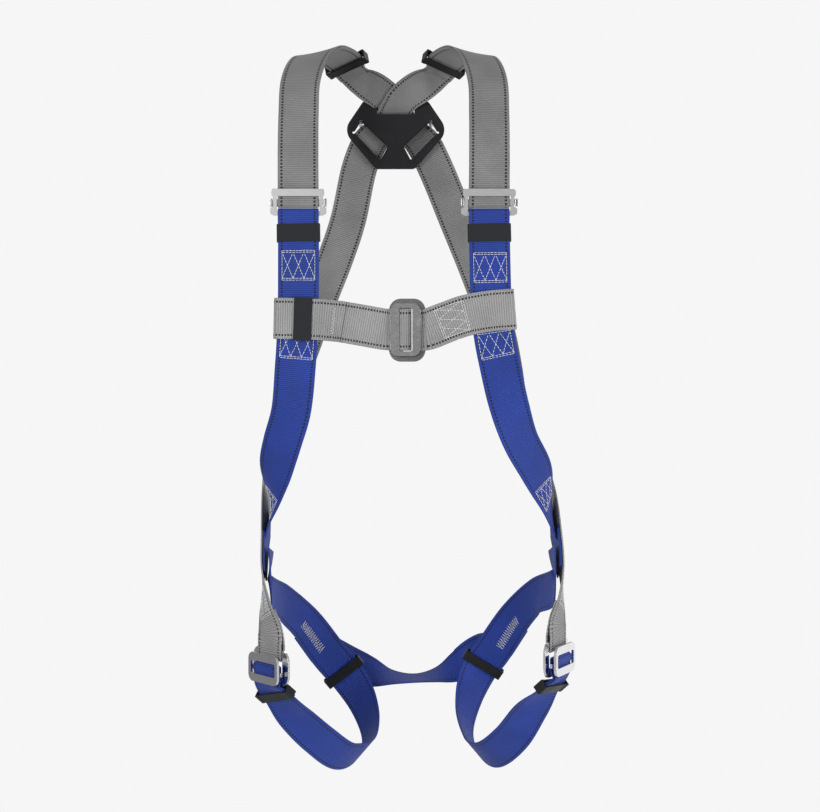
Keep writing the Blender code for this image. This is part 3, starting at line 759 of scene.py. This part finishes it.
def relieved(points, radii):
    """A closed outline with a round relief at each corner that has a radius, and a tight curve at
    the others."""
    outline = []
    for (corner, before, after, half), arc in zip(corners_of(points), radii):
        if not arc:
            outline += [corner + before * 1.6, corner + (before + after) * 0.5, corner + after * 1.6]
            continue
        inward = (before + after).normalized()
        turn = 1 if inward.cross(after) > 0 else -1
        for step in range(17):
            angle = -half - (2 * math.pi - 2 * half) * step / 16
            outline.append(corner + Matrix.Rotation(angle * turn, 2) @ inward * arc)
    return outline


def box_outline(width, height, x=0.0, y=0.0):
    return [(x + sx * width / 2, y + sy * height / 2) for sx, sy in ((-1, -1), (1, -1), (1, 1), (-1, 1))]


def flat_mesh(name, outlines, thick):
    """A flat outline with holes, drawn in X and Z in millimetres, its thickness in Y."""
    curve = bpy.data.curves.new(name, "CURVE")
    curve.dimensions = "2D"
    curve.fill_mode = "BOTH"
    curve.extrude = thick / 2
    for outline in outlines:
        line = curve.splines.new("POLY")
        line.points.add(len(outline) - 1)
        for spot, (x, y) in zip(line.points, outline):
            spot.co = (x, y, 0.0, 1.0)
        line.use_cyclic_u = True
    drawn = in_scene(name + "_outline", curve)
    mesh = as_mesh(drawn)
    bpy.data.objects.remove(drawn, do_unlink=True)
    mesh.name = name
    work = bmesh.new()
    work.from_mesh(mesh)
    bmesh.ops.remove_doubles(work, verts=work.verts, dist=0.001)
    bmesh.ops.rotate(work, verts=work.verts, matrix=Matrix.Rotation(math.pi / 2, 3, "X"))
    work.to_mesh(mesh)
    work.free()
    return mesh


def settle(mesh, matrix):
    """Moves a mesh drawn in millimetres to a matrix in millimetres, as metres."""
    mesh.transform(Matrix.Scale(MM, 4) @ matrix)
    return mesh


def cut_away(piece, name, size, matrix):
    """Cuts a box out of a piece before its edges are rounded, and makes all of it mesh."""
    mesh = bpy.data.meshes.new(name)
    work = bmesh.new()
    bmesh.ops.create_cube(work, size=1.0)
    bmesh.ops.scale(work, vec=Vector(size), verts=work.verts)
    work.to_mesh(mesh)
    work.free()
    cutter = in_scene(name, settle(mesh, matrix))
    cut = piece.modifiers.new(name, "BOOLEAN")
    cut.operation, cut.solver, cut.object = "DIFFERENCE", "EXACT", cutter
    piece.modifiers.move(len(piece.modifiers) - 1, 0)
    made = as_mesh(piece)
    piece.modifiers.clear()
    piece.data = made
    bpy.data.objects.remove(cutter, do_unlink=True)


def soften(piece, width, segments=3, angle=40):
    """Rounds a hard piece's edges and shades it smoothly."""
    edge = piece.modifiers.new("rounded_edges", "BEVEL")
    edge.width = width * MM
    edge.segments = segments
    edge.limit_method = "ANGLE"
    edge.angle_limit = math.radians(angle)
    edge.harden_normals = True
    piece.data.shade_smooth()
    keep = piece.modifiers.new("even_shading", "WEIGHTED_NORMAL")
    keep.keep_sharp = True
    return piece


def flat_piece(name, outlines, thick, matrix, look, body, node, bevel, segments=3):
    mesh = settle(flat_mesh(name, outlines, thick), matrix)
    piece = add_piece(name, mesh, LOOKS[look], body, node)
    return soften(piece, bevel, segments)


# ---- the harness --------------------------------------------------------------------------------

def primary_path(rise, back_stations, buckle):
    """From a shoulder buckle over the shoulder, through the dorsal plate and down to the leg."""
    return curve_through([*rise, *back_stations, from_buckle(buckle, 44, SEWN_DEEP),
                          from_buckle(buckle, 30, SEWN_DEEP), from_buckle(buckle, SEWN_FOLD, SEWN_DEEP)])


def primary_strap(side, other, path, rise):
    """Grey webbing from a shoulder buckle to the other side's leg buckle, sewn end to end at the
    hip.  Its adjusting end turns round the slide bar and lies inside it, over the shoulder."""
    hip = len(path.points) - HIP_ROWS
    upper = path.part(0, hip + 1).turned_round()
    tail = path.lengths()[path.near(rise[8][:3])]
    layer = REAR_STRAP if side == "left" else (0, 0)
    surface = Webbing(folded_back(upper, 5.2, 5, 30, tail), shape=lambda grid: rest_on_plate(grid, *layer))
    strap(f"shoulder_strap_{side}", surface, LOOKS["grey"])
    lower = path.part(hip, None)
    lower.points[0] += lower.along[0] * GAP * 1.2
    surface = Webbing(folded_back(lower, 5.2, 15, 14, 48))
    middle = surface.at(lower.points[lower.from_end(64)])
    lines = box_and_crosses(0, middle, 30, 33, 0)
    lines += [[(u, middle - 14), (u, middle + 14)] for u in (-12, -8, -4, 4, 8, 12)]
    sewn = stitches(f"hip_stitching_{other}", surface, lines)
    strap(f"hip_strap_{other}", surface, LOOKS["pale_grey"])


def front_strap(side, stations, hip_path):
    """Blue webbing from the shoulder buckle down the chest, sewn inside the grey at the hip."""
    first, last = (len(hip_path.points) - rows for rows in FRONT_SEWN_ROWS)
    free = curve_through([*stations, row_station(hip_path, first, -SEWN)])
    path = joined(free, hip_path.part(first + 1, last).raised(-SEWN))
    surface = Webbing(folded_back(path.turned_round(), 7.6, 4, 9, 78))
    for number, (spot, wide, long) in enumerate(FRONT_BOXES[side]):
        lines = box_and_crosses(0, surface.at(spot), wide, long)
        stitches(f"front_stitching_{side}_{number}", surface, lines)
    strap(f"front_strap_{side}", surface, LOOKS["blue"])
    return path


def thigh_strap(side, stations, hip_path, buckle):
    """Blue webbing sewn inside the front strap, then round the thigh and up to the leg buckle."""
    first, last = (len(hip_path.points) - rows for rows in THIGH_SEWN_ROWS)
    into_buckle = [from_buckle(buckle, along, deep) for along, deep in ((-18, 1.2), (-9, 0), (FOLD_AT, 0))]
    path = curve_through([row_station(hip_path, first, -UNDER),
                          row_station(hip_path, last, -UNDER, THIGH_ASIDE[side]),
                          *stations, *into_buckle])
    surface = Webbing(folded_back(path, 5.2, 11, 14, 46), shape=lambda grid: through_slot(grid, buckle))
    spot, u = THIGH_TACKS[side]
    tack = stitches(f"thigh_stitching_{side}", surface, zigzag(u, surface.at(spot), 9.5, 56, 1.9, True),
                    0.62, 0, side=-1)
    strap(f"thigh_strap_{side}", surface, LOOKS["blue"])
    return path


def seat_strap(left, right):
    """Blue webbing under the seat, sewn to the outer side of both thigh straps."""
    a, b = (left.near(THIGH_LEFT[k][:3]) for k in (1, 2))
    c, d = (right.near(THIGH_RIGHT[k][:3]) for k in (1, 2))
    lift = SEWN + GAP
    start, end = left.part(a, b).raised(lift), right.part(c, d).raised(lift).turned_round()
    middle = curve_through([row_station(left, b, lift), *SEAT, row_station(right, d, lift)])
    strap("seat_strap", Webbing(joined(start, middle, end)), LOOKS["blue"])


def chest_straps():
    """Two lengths of webbing, each looped round a front strap and joined at the chest buckle."""
    left = folded_back(curve_through(CHEST_LEFT), 5.2, 12, 18, 74)
    left = folded_back(left.turned_round(), -6.4, 50, 14, 73)
    surface = Webbing(left)
    tack = stitches("chest_stitching_left", surface, zigzag(
        0, surface.at((-66, -234.6, -248.8)), 3.4, 29, 1.5, False), 0.4, 0, side=-1)
    strap("chest_strap_left", surface, LOOKS["pale_grey"])
    right = folded_back(curve_through(CHEST_RIGHT), 5.4, 50, 12, 66)
    right = folded_back(right.turned_round(), 5.4, 15, 12, 36)
    surface = Webbing(right)
    sewn = stitches("chest_stitching_right", surface, box_and_crosses(
        0, surface.at((64, -235, -247)), 33, 32), side=1)
    strap("chest_strap_right", surface, LOOKS["pale_grey"])
    return left


# The raised rim round a window of the plate, and where the plate's round mould marks are.
RIM_OUTSIDE = [(-46.5, 20.5), (-58, 3.5), (-19.5, -37), (-5.5, -15.5)]
RIM_INSIDE = [(-46.2, 19.3), (-56.6, 3.4), (-19.4, -35.4), (-7.1, -15.4)]
MOULD_MARKS = [(-20, 6), (18.5, 9), (-0.4, -12.5), (-10, -29)]


def dorsal_plate():
    outline = rounded(
        [(-25, -43), (24, -43), (66, 5), (41, 42), (-41, 42), (-66, 5)], [8, 8, 18, 5, 5, 18])
    window = [(-44, 17), (-53, 3), (-19, -32), (-10, -15)]
    relief = [2.0, 1.7, 0, 0]
    windows = [relieved([(side * x, z) for x, z in window], relief) for side in (1, -1)]
    piece = flat_piece("dorsal_plate_body", [outline, *windows], PLATE_THICK,
                       Matrix.Translation((0, PLATE_THICK / 2, 0)), "black", "webbing", "dorsal_plate",
                       0.9)
    slot = Matrix.Translation((0, 3.4, 28.2)) @ Matrix.Rotation(math.radians(-48), 4, "X")
    cut_away(piece, "plate_slot", PLATE_SLOT, slot)
    for side, place in ((-1, "left"), (1, "right")):
        ring = [(side * x, z) for x, z in RIM_OUTSIDE][::-side]
        inner = [(side * x, z) for x, z in RIM_INSIDE][::-side]
        flat_piece(f"plate_rim_{place}", [rounded(ring, 2.5, 6), rounded(inner, 2, 6)], 0.7,
                   Matrix.Translation((0, -0.25, 0)), "black", "webbing", None, 0.3, 2)
    for number, (x, z) in enumerate(MOULD_MARKS):
        flat_piece(f"plate_mark_{number}", [rounded(box_outline(5.6, 5.6, x, z), 2.79, 8)], 0.5,
                   Matrix.Translation((0, -0.1, 0)), "black", "webbing", None, 0.2, 2)


def dorsal_d_ring():
    """A closed D of round wire, hanging from its straight side."""
    bend = D_HALF_WIDTH - 4
    hang = Matrix.Translation(D_BAR) @ Matrix.Rotation(math.radians(-D_HANGS), 4, "X")
    outline = [(-D_HALF_WIDTH + x, 0) for x in np.linspace(0, 2 * D_HALF_WIDTH, 10)][::-1]
    outline += [(-D_HALF_WIDTH, y) for y in (6, 14)]
    for k in range(33):
        angle = math.pi * (1 - k / 32)
        outline.append((D_HALF_WIDTH * math.cos(angle), D_LENGTH - bend + bend * math.sin(angle)))
    outline += [(D_HALF_WIDTH, y) for y in (14, 6)]
    verts = []
    points = np.array([(x, y, 0.0) for x, y in outline])
    ahead = unit(np.roll(points, -1, axis=0) - np.roll(points, 1, axis=0))
    for k, (point, way) in enumerate(zip(points, ahead)):
        side = np.array([-way[1], way[0], 0.0])
        for turn in range(D_SIDES):
            angle = 2 * math.pi * turn / D_SIDES
            verts.append(point + (side * math.cos(angle) + np.array([0, 0, math.sin(angle)])) * D_WIRE / 2)
    mesh = bpy.data.meshes.new("d_ring")
    mesh.from_pydata([tuple(v) for v in verts], [], ring_faces(len(points), D_SIDES, closed=True))
    mesh.shade_smooth()
    add_piece("dorsal_d_ring_body", settle(mesh, hang), LOOKS["steel"], "dorsal_d_ring", "dorsal_d_ring")


def shoulder_buckle(side, x):
    lean = Matrix.Translation((x, FRONT_Y, SHOULDER_BUCKLE_Z)) @ Matrix.Rotation(
        math.radians(BUCKLE_TILT), 4, "X")
    outline = rounded([
        (-27, -15), (27, -15), (31, -13), (31, -7), (27.5, -5), (27.5, 6), (29, 8), (29, 15),
        (-29, 15), (-29, 8), (-27.5, 6), (-27.5, -5), (-31, -7), (-31, -13)],
        [1.5, 1.5, 1.6, 2.2, 1.6, 1.0, 1.0, 3.2, 3.2, 1.0, 1.0, 1.6, 2.2, 1.6], 6)
    window = rounded(box_outline(47, 18, 0, -2), 1.5, 4)
    frame = flat_piece(f"shoulder_frame_{side}_body", [outline, window], FRAME_THICK, lean, "satin",
                       "webbing", f"shoulder_frame_{side}", 0.85, 4)
    cut_away(frame, "notch", FRAME_NOTCH, Matrix.Translation((x, FRONT_Y + 4.9, SLIDE_Z + 1.2)))
    bar_y = FRONT_Y + WEB_THICK / 2 + GAP + SLIDE_BAR_THICK / 2
    half = SLIDE_BAR_THICK / 2
    hooks = [(-31.5, half), (-31.5, -5.4), (-28.2, -5.4), (-28.2, -half), (28.2, -half), (28.2, -5.4),
             (31.5, -5.4), (31.5, half)]
    upright = Matrix.Translation((x, bar_y, SLIDE_Z)) @ Matrix.Rotation(-math.pi / 2, 4, "X")
    mesh = flat_mesh("bar", [rounded(hooks, 0.6, 3)], SLIDE_WINGS)
    for vertex in mesh.vertices:
        if abs(vertex.co.x) < 27.9:
            vertex.co.y *= SLIDE_BAR_TALL / SLIDE_WINGS
    bar = add_piece(f"shoulder_slide_bar_{side}_body", settle(mesh, upright), LOOKS["steel"],
                    f"shoulder_slide_bar_{side}", f"shoulder_slide_bar_{side}")
    soften(bar, 0.5)


def pass_through_buckle(name, matrix, tag, bright, behind):
    """Front frame, slide bar and back plate.  X runs from the adjusted strap to the sewn one,
    Y away from the viewer and Z along the bars; the slide bar is at X = 0."""
    wide, tall, thick = CHEST_FRAME
    front = -(WEB_THICK / 2 + GAP * 2 + thick / 2)
    flat_piece(f"{name}_frame{tag}_body", [
        rounded(box_outline(wide, tall, 3), 8.5, 10), rounded(box_outline(*CHEST_SLOT, 3), 2.8, 5)], thick,
        matrix @ Matrix.Translation((0, front, 0)), bright, f"{name}_frame{tag}", f"{name}_frame{tag}",
        1.35, 4)
    flat_piece(f"{name}_slide_bar{tag}_body", [rounded(box_outline(5.0, 54), 1.2, 4)], SLIDE_BAR_THICK,
               matrix @ Matrix.Translation((-1.5, WEB_THICK / 2 + GAP + SLIDE_BAR_THICK / 2, 0)), bright,
               "webbing", f"{name}_slide_bar{tag}", 0.7)
    deep = WEB_THICK * 1.5 + GAP * 3 + SLIDE_BAR_THICK + BACK_PLATE[2] / 2
    flat_piece(f"{name}_plate{tag}_body", [
        rounded(box_outline(BACK_PLATE[0], BACK_PLATE[1], PLATE_SHIFT), 13, 12),
        rounded(box_outline(*BACK_SLOT, PLATE_SHIFT), 2.4, 4)], BACK_PLATE[2],
        matrix @ Matrix.Translation((0, deep, 0)), behind, "webbing", f"{name}_plate{tag}", 0.9, 4)


def keeper(name, path, index, height, layers, clear):
    """A moulded loop round the webbing, with thicker ends."""
    inside = (WEB_WIDTH + 2 * clear, WEB_THICK + (layers - 1) * LAYER + 2 * clear)
    middle = (layers - 1) * LAYER / 2
    out_x, out_y = inside[0] / 2 + KEEPER_WALL, inside[1] / 2 + KEEPER_WALL
    block, waist = out_x - KEEPER_BLOCK, out_x - KEEPER_BLOCK - 0.4
    lower = [(-out_x, -out_y), (-block, -out_y), (-waist, 0.5 - out_y)]
    lower += [(waist, 0.5 - out_y), (block, -out_y), (out_x, -out_y)]
    ring = [(x, middle + y) for x, y in lower] + [(-x, middle - y) for x, y in lower]
    outline = rounded(ring, [1.3, 0, 0, 0, 0, 1.3] * 2, 5)
    hole = rounded(box_outline(*inside, 0, middle), 0.5, 2)
    turn = path.matrix(index) @ Matrix.Rotation(-math.pi / 2, 4, "X")
    flat_piece(name + "_body", [outline, hole], height, turn, "black", name, name, 0.45, 2)


def elastic(name, path, index, layers, clear):
    """A band of elastic round the webbing."""
    wide = WEB_WIDTH / 2 + clear + ELASTIC_THICK / 2
    deep = (WEB_THICK + (layers - 1) * LAYER) / 2 + clear + ELASTIC_THICK / 2
    middle = (layers - 1) * LAYER / 2
    outline = rounded(box_outline(wide * 2, deep * 2, 0, middle), min(1.6, deep * 0.8), 8)
    frame = path.matrix(index)
    points = np.array([tuple(frame @ Vector((x, y, 0))) for x, y in [*outline, outline[0]]])
    runs = lengths(points)
    at = np.unique(np.concatenate([runs, np.linspace(0, runs[-1], 60)]))
    points = np.stack([np.interp(at, runs, points[:, k]) for k in range(3)], axis=-1)
    centre = np.array(frame @ Vector((0, middle, 0)))
    across = np.array(frame.col[2][:3])
    ahead = np.gradient(points, axis=0)
    outer = np.cross(np.broadcast_to(across, ahead.shape), ahead)
    flip = np.sign(np.sum(outer * (points - centre), axis=1, keepdims=True))
    band = Path(points, unit(outer * flip), ahead)
    surface = Webbing(band, ELASTIC_WIDTH, ELASTIC_THICK)
    strap(name, surface, LOOKS["elastic"], name)


def harness():
    rises = {"left": mirrored(SHOULDER_RISE), "right": SHOULDER_RISE}
    backs = {"left": BACK_TO_LEFT, "right": BACK_TO_RIGHT}
    fronts = {"left": FRONT_LEFT, "right": FRONT_RIGHT}
    thigh_stations = {"left": THIGH_LEFT, "right": THIGH_RIGHT}
    thighs = {}
    for side, other in (("left", "right"), ("right", "left")):
        buckle = leg_buckle_matrix(other)
        primary = primary_path(rises[side], backs[other], buckle)
        primary_strap(side, other, primary, rises[side])
        front = front_strap(other, fronts[other], primary)
        thigh = thighs[other] = thigh_strap(other, thigh_stations[other], primary, buckle)
        pass_through_buckle("leg_buckle", buckle, f"_{other}", "bright", "bright")
        shoulder_buckle(side, rises[side][0][0])
        keeper(f"shoulder_keeper_{side}", primary, primary.near(SHOULDER_KEEPERS[side]), 12, 2, 3.0)
        elastic(f"front_elastic_{other}", front, front.near((front.points[0][0], *FRONT_ELASTIC)), 2, 0.5)
        keeper(f"thigh_keeper_{other}", thigh, thigh.near(THIGH_KEEPERS[other]), 12, 1, 2.4)
        keeper(f"buckle_keeper_{other}", thigh, thigh.near(BUCKLE_KEEPERS[other]), 13, 2, 1.8)
    seat_strap(thighs["left"], thighs["right"])
    left = chest_straps()
    # The chest buckle's back plate takes the darker steel copy; its darker colour is painted shade.
    pass_through_buckle("chest_buckle", Matrix.Translation(CHEST_BUCKLE), "", "steel", "shaded_steel")
    tab = left.turned_round().part(0, 60).turned_round()
    elastic("chest_elastic", tab, tab.near(CHEST_ELASTIC), 1, 0.4)
    dorsal_plate()
    dorsal_d_ring()


# ---- studio -------------------------------------------------------------------------------------

# Brighter and darker patches of the surroundings: which way they lie, how far they reach (as a
# cosine) and how much they add.
SOFT_PATCHES = [
    ((-0.36, -0.78, -0.51), 0.93, 0.75),
    ((0.75, 0.64, -0.18), 0.65, 0.5),
    ((-0.95, 0.27, -0.18), 0.75, -0.35),
    ((0.1, -0.5, 0.86), 0.75, 0.35),
]


def surroundings(scene):
    """Soft light from all round: a little darker from above and from the viewer's side."""
    world = bpy.data.worlds.new("studio_light")
    scene.world = world
    g = Graph(world)
    way = g.add("ShaderNodeTexCoord", output="Generated")
    _, depth, height = g.split(way)
    above = g.ramp(height, -0.7, 0.9, 0.66, 0.48)
    viewer = g.ramp(depth, -0.98, -0.5, 0.5, 1.0)
    level = g.math("MULTIPLY", above, viewer)
    for toward, near, amount in SOFT_PATCHES:
        closeness = g.add("ShaderNodeVectorMath", output=1, operation="DOT_PRODUCT",
                          sockets={0: way, 1: toward})
        level = g.math("ADD", level, g.ramp(closeness, near, 0.99, 0.0, amount))
    sky = g.tree.nodes["Background"]
    g.feed(sky.inputs[0], g.grey(level))
    sky.inputs[1].default_value = 0.8


def studio():
    scene = bpy.context.scene
    scene.view_settings.view_transform = "Standard"
    camera = in_scene("camera", bpy.data.cameras.new("camera"))
    camera.data.lens = 62.0
    camera.location = (0.018, -1.78, -0.342)
    camera.rotation_euler = (math.radians(90), 0, 0)
    scene.camera = camera

    rings = [(0.0, -1.3), (5.0, -1.3)]
    rings += [(5.0 + 1.5 * math.sin(a), 0.2 - 1.5 * math.cos(a)) for a in np.linspace(0, math.pi / 2, 12)[1:]]
    rings += [(6.5, 4.0), (5.0, 5.5), (0.0, 6.0)]
    turns = [2 * math.pi * k / FLOOR_SIDES for k in range(FLOOR_SIDES)]
    verts = [(r * math.cos(a), r * math.sin(a), z) for r, z in rings for a in turns]
    mesh = bpy.data.meshes.new("studio_floor")
    mesh.from_pydata(verts, [], ring_faces(len(rings), FLOOR_SIDES))
    mesh.shade_smooth()
    paint = new_look("studio_white")
    paint.set(Base_Color=grey(0.0), Roughness=1.0, Specular_IOR_Level=0.0, Emission_Color=grey(0.922),
              Emission_Strength=1.0)
    mesh.materials.append(paint.material)
    floor = in_scene("studio_floor", mesh)
    floor.visible_shadow = floor.visible_diffuse = floor.visible_glossy = False
    surroundings(scene)

    def lamp(name, spot, aim, size, power):
        light = bpy.data.lights.new(name, "AREA")
        light.shape = "RECTANGLE"
        light.size, light.size_y = size
        light.energy = power
        holder = in_scene(name, light)
        holder.location = spot
        holder.rotation_euler = (Vector(aim) - Vector(spot)).to_track_quat("-Z", "Y").to_euler()

    lamp("key", (-1.3, -2.6, 0.1), (0, -0.1, -0.35), (1.2, 1.2), 35)
    lamp("fill", (1.9, -1.6, -0.6), (0, -0.1, -0.4), (1.0, 1.6), 26)
    lamp("back", (0.4, 1.8, 1.2), (0, 0, -0.2), (1.6, 1.2), 6)


# ---- build --------------------------------------------------------------------------------------

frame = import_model()
studio()
LOOKS = {
    "grey": webbing_material("grey_webbing_look", grey(0.25), 2.4, 3.85, 2.3, grey(0.01), 0.35, 0.1),
    "pale_grey": webbing_material("pale_webbing_look", grey(0.35), 2.5, 3.2, 2.1, grey(0.01), 0.6, 0.1),
    "blue": webbing_material("blue_webbing_look", (0.015, 0.048, 0.33, 1), 2.2, 3.7, 1.9,
                             (0.003, 0.005, 0.02, 1), 0.3, 0.1),
    "elastic": elastic_material(),
    "thread": thread_material(),
    "steel": steel_material("steel_look", (0.66, 0.66, 0.67, 1), 0.22, 0.001),
    # Painted shade: a darker copy of the steel, a little rougher, for the chest buckle's back plate behind
    # the front frame.
    "shaded_steel": steel_material("shaded_steel_look", (0.36, 0.36, 0.37, 1), 0.26, 0.001),
    "satin": steel_material("satin_look", (0.9, 0.9, 0.9, 1), 0.3, 0.006),
    "bright": steel_material("bright_look", (0.88, 0.88, 0.9, 1), 0.12, 0.003),
    "black": plastic_material("black_plastic_look", (0.0075, 0.008, 0.009, 1), 0.38),
}
harness()
